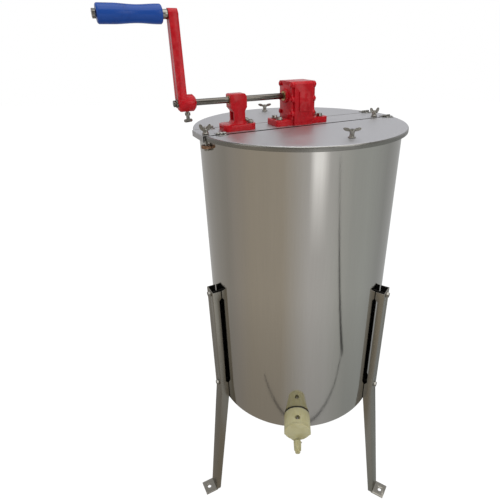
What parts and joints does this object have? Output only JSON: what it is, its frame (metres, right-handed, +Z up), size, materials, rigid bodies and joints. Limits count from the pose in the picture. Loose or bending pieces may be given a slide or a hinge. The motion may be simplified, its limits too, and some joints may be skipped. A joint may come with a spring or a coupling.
{
  "type": "honey extractor",
  "caption": "Hand-cranked tangential honey extractor: steel drum on splayed channel legs, rim bridge with bevel gearbox and crank, split hinged lid, comb basket and plastic honey gate.",
  "frame": {"origin": "on the ground under the middle of the drum, at the centre of the circle through the foot holes", "axes": "+Z up along the drum's axis, -Y towards the honey gate, +X to the right of someone facing the gate"},
  "size_m": [0.5313, 0.522, 1.0815],
  "materials": {
    "drum_steel": "bright rolled stainless with faint vertical brushing",
    "lid_steel": "matt satin stainless sheet",
    "leg_steel": "bright stainless channel",
    "fastener_steel": "bright plated steel",
    "shaft_steel": "turned and polished bar",
    "red_paint": "gloss red enamel over a sand casting",
    "gear_iron": "oiled",
    "bush_bronze": "oiled sintered bronze",
    "basket_steel": "bright stainless",
    "blue_plastic": "gloss",
    "cream_plastic": "satin moulded nylon",
    "seal_rubber": "soft"
  },
  "bodies": {
    "stand": {"drum_shell": "drum_steel", "drum_floor": "drum_steel", "floor_bearing": "gear_iron", "bearing_ball": "shaft_steel", "leg_left": "leg_steel", "leg_right": "leg_steel", "leg_rear": "leg_steel", "leg_bolts": "fastener_steel", "leg_nuts": "fastener_steel", "bridge": "lid_steel", "clamp_lug": "drum_steel", "clamp_bracket": "drum_steel", "clamp_bolts": "fastener_steel", "bridge_hinge_leaves": "fastener_steel", "hinge_pins": "fastener_steel", "gearbox_housing": "red_paint", "gearbox_cover": "red_paint", "gearbox_end_cover": "red_paint", "cover_screws": "red_paint", "pedestal": "red_paint", "bridge_bolts": "fastener_steel", "bridge_nuts": "fastener_steel", "shaft_bushes": "bush_bronze", "rotor_bush": "bush_bronze", "gate_body": "cream_plastic", "gate_nut": "cream_plastic", "gate_seal": "seal_rubber", "gate_stud": "fastener_steel"},
    "rotor": {"rotor_shaft": "shaft_steel", "bevel_pinion": "gear_iron", "basket_hubs": "basket_steel", "basket_top": "basket_steel", "basket_bottom": "basket_steel", "basket_posts": "basket_steel", "basket_grilles": "basket_steel", "basket_rails": "basket_steel"},
    "crank": {"crank_shaft": "shaft_steel", "bevel_gear": "gear_iron", "gear_pin": "fastener_steel", "shaft_ring": "fastener_steel", "crank_arm": "red_paint", "grip_spindle": "fastener_steel", "grip_collar": "fastener_steel"},
    "grip": {"grip": "blue_plastic"},
    "crank_screw": {"crank_wing_screw": "fastener_steel"},
    "front_lid": {"lid_front": "lid_steel", "lid_front_leaves": "fastener_steel", "lid_front_knob": "fastener_steel", "lid_front_stud": "fastener_steel"},
    "rear_lid": {"lid_rear": "lid_steel", "lid_rear_leaves": "fastener_steel", "lid_rear_knob": "fastener_steel", "lid_rear_stud": "fastener_steel"},
    "left_clamp": {"clamp_nut_left": "fastener_steel"},
    "right_clamp": {"clamp_nut_right": "fastener_steel"},
    "flap": {"gate_flap": "cream_plastic", "gate_pivot": "fastener_steel"},
    "thumb_nut": {"gate_thumb_nut": "cream_plastic", "gate_washer": "fastener_steel"}
  },
  "joints": [
    {"name": "rotor_spin", "type": "hinge", "parent": "stand", "child": "rotor", "pos_m": [0, 0, 0.6], "axis": [0, 0, 1], "continuous": true},
    {"name": "crank_turn", "type": "hinge", "parent": "stand", "child": "crank", "pos_m": [-0.08829, -0.04695, 0.9455], "axis": [0.8829, 0.4695, 0], "continuous": true},
    {"name": "grip_spin", "type": "hinge", "parent": "crank", "child": "grip", "pos_m": [-0.24458, -0.13004, 1.0685], "axis": [0.8829, 0.4695, 0], "continuous": true},
    {"name": "crank_screw_turn", "type": "hinge", "parent": "crank", "child": "crank_screw", "pos_m": [-0.18454, -0.09812, 0.927], "axis": [0, 0, 1], "continuous": true},
    {"name": "front_lid_hinge", "type": "hinge", "parent": "stand", "child": "front_lid", "pos_m": [0.01521, -0.02861, 0.8991], "axis": [-0.8829, -0.4695, 0], "range_deg": [0, 90]},
    {"name": "rear_lid_hinge", "type": "hinge", "parent": "stand", "child": "rear_lid", "pos_m": [-0.01521, 0.02861, 0.8991], "axis": [0.8829, 0.4695, 0], "range_deg": [0, 90]},
    {"name": "left_clamp_turn", "type": "hinge", "parent": "stand", "child": "left_clamp", "pos_m": [-0.15643, -0.10696, 0.902], "axis": [0, 0, 1], "continuous": true},
    {"name": "right_clamp_turn", "type": "hinge", "parent": "stand", "child": "right_clamp", "pos_m": [0.14848, 0.05516, 0.902], "axis": [0, 0, 1], "continuous": true},
    {"name": "gate_flap_swing", "type": "hinge", "parent": "stand", "child": "flap", "pos_m": [0, -0.226, 0.35825], "axis": [0, 1, 0], "range_deg": [0, 100]},
    {"name": "gate_nut_turn", "type": "hinge", "parent": "stand", "child": "thumb_nut", "pos_m": [0, -0.24, 0.31575], "axis": [0, 1, 0], "continuous": true}
  ],
  "couplings": [
    {"joint": "crank_turn", "follows": "rotor_spin", "ratio": -0.5}
  ]
}
